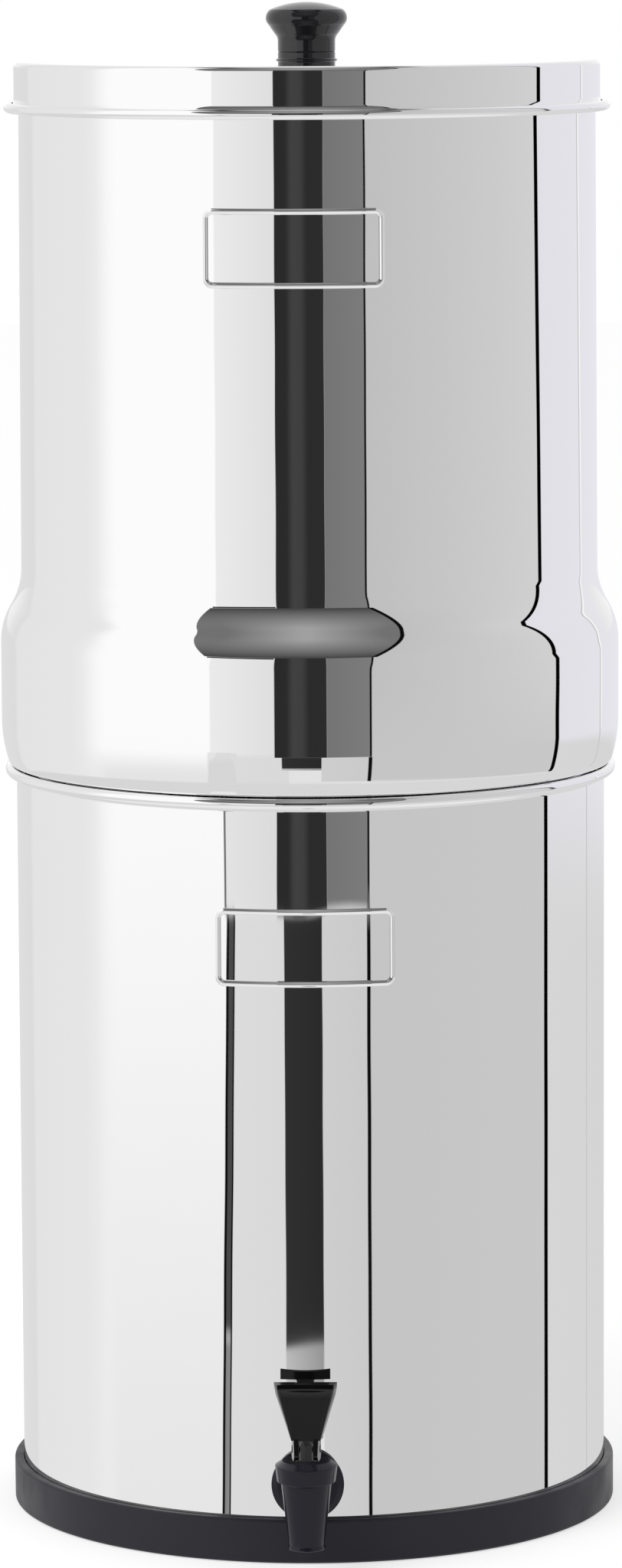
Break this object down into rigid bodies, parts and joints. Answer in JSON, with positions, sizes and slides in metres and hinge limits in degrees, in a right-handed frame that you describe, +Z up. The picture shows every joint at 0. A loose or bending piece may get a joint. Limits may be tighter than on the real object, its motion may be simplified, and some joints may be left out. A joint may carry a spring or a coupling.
{
  "type": "gravity water filter",
  "caption": "Free-standing gravity water filter: stacked steel chambers, lifting lid with knob, standing filter elements and a self-closing lever tap.",
  "frame": {"origin": "centre of the base ring's underside, on the chambers' common axis", "axes": "+Z up the chambers' axis, the tap faces -Y, +X to the right seen from the tap's side"},
  "size_m": [0.253, 0.2882, 0.6173],
  "materials": {
    "polished_steel": "mirror polished",
    "fastener_steel": "bright",
    "ring_rubber": "satin",
    "knob_plastic": "gloss",
    "tap_plastic": "semi-gloss moulded",
    "element_plastic": "satin moulded",
    "carbon": "sintered carbon, matte",
    "washer_rubber": "matte",
    "silicone": "satin"
  },
  "bodies": {
    "lower": {"base_ring": "ring_rubber", "lower_chamber": "polished_steel", "tap_body": "tap_plastic", "tap_outer_washer": "washer_rubber", "tap_inner_washer": "washer_rubber", "tap_nut": "tap_plastic", "tap_bonnet": "tap_plastic"},
    "upper": {"upper_chamber": "polished_steel", "element_block_left": "carbon", "element_block_right": "carbon", "element_base_left": "element_plastic", "element_base_right": "element_plastic", "element_cap_left": "element_plastic", "element_cap_right": "element_plastic", "hole_plug_front": "element_plastic", "hole_plug_back": "element_plastic", "sealing_washers": "silicone", "wing_nuts": "element_plastic"},
    "lid": {"lid_shell": "polished_steel", "lid_knob": "knob_plastic", "knob_collar": "knob_plastic", "knob_washer": "fastener_steel", "knob_screw": "fastener_steel"},
    "stem": {"tap_stem": "tap_plastic", "tap_seat_cup": "silicone", "tap_spring": "fastener_steel"},
    "lever": {"tap_lever": "tap_plastic", "lever_pin": "fastener_steel"}
  },
  "joints": [
    {"name": "upper_lift", "type": "slide", "parent": "lower", "child": "upper", "axis": [0, 0, 1], "range_m": [0, 0.09]},
    {"name": "lid_lift", "type": "slide", "parent": "upper", "child": "lid", "axis": [0, 0, 1], "range_m": [0, 0.06]},
    {"name": "stem_lift", "type": "slide", "parent": "lower", "child": "stem", "axis": [0, 0, 1], "range_m": [0, 0.0029], "deforming": ["tap_spring", "tap_seat_cup"]},
    {"name": "lever_tilt", "type": "hinge", "parent": "stem", "child": "lever", "pos_m": [0, -0.14925, 0.05275], "axis": [1, 0, 0], "range_deg": [0, 55], "stiffness_Nm_per_rad": 0.12, "springref_deg": -17.19}
  ],
  "couplings": [
    {"joint": "stem_lift", "follows": "lever_tilt", "m_per_rad": 0.003}
  ]
}
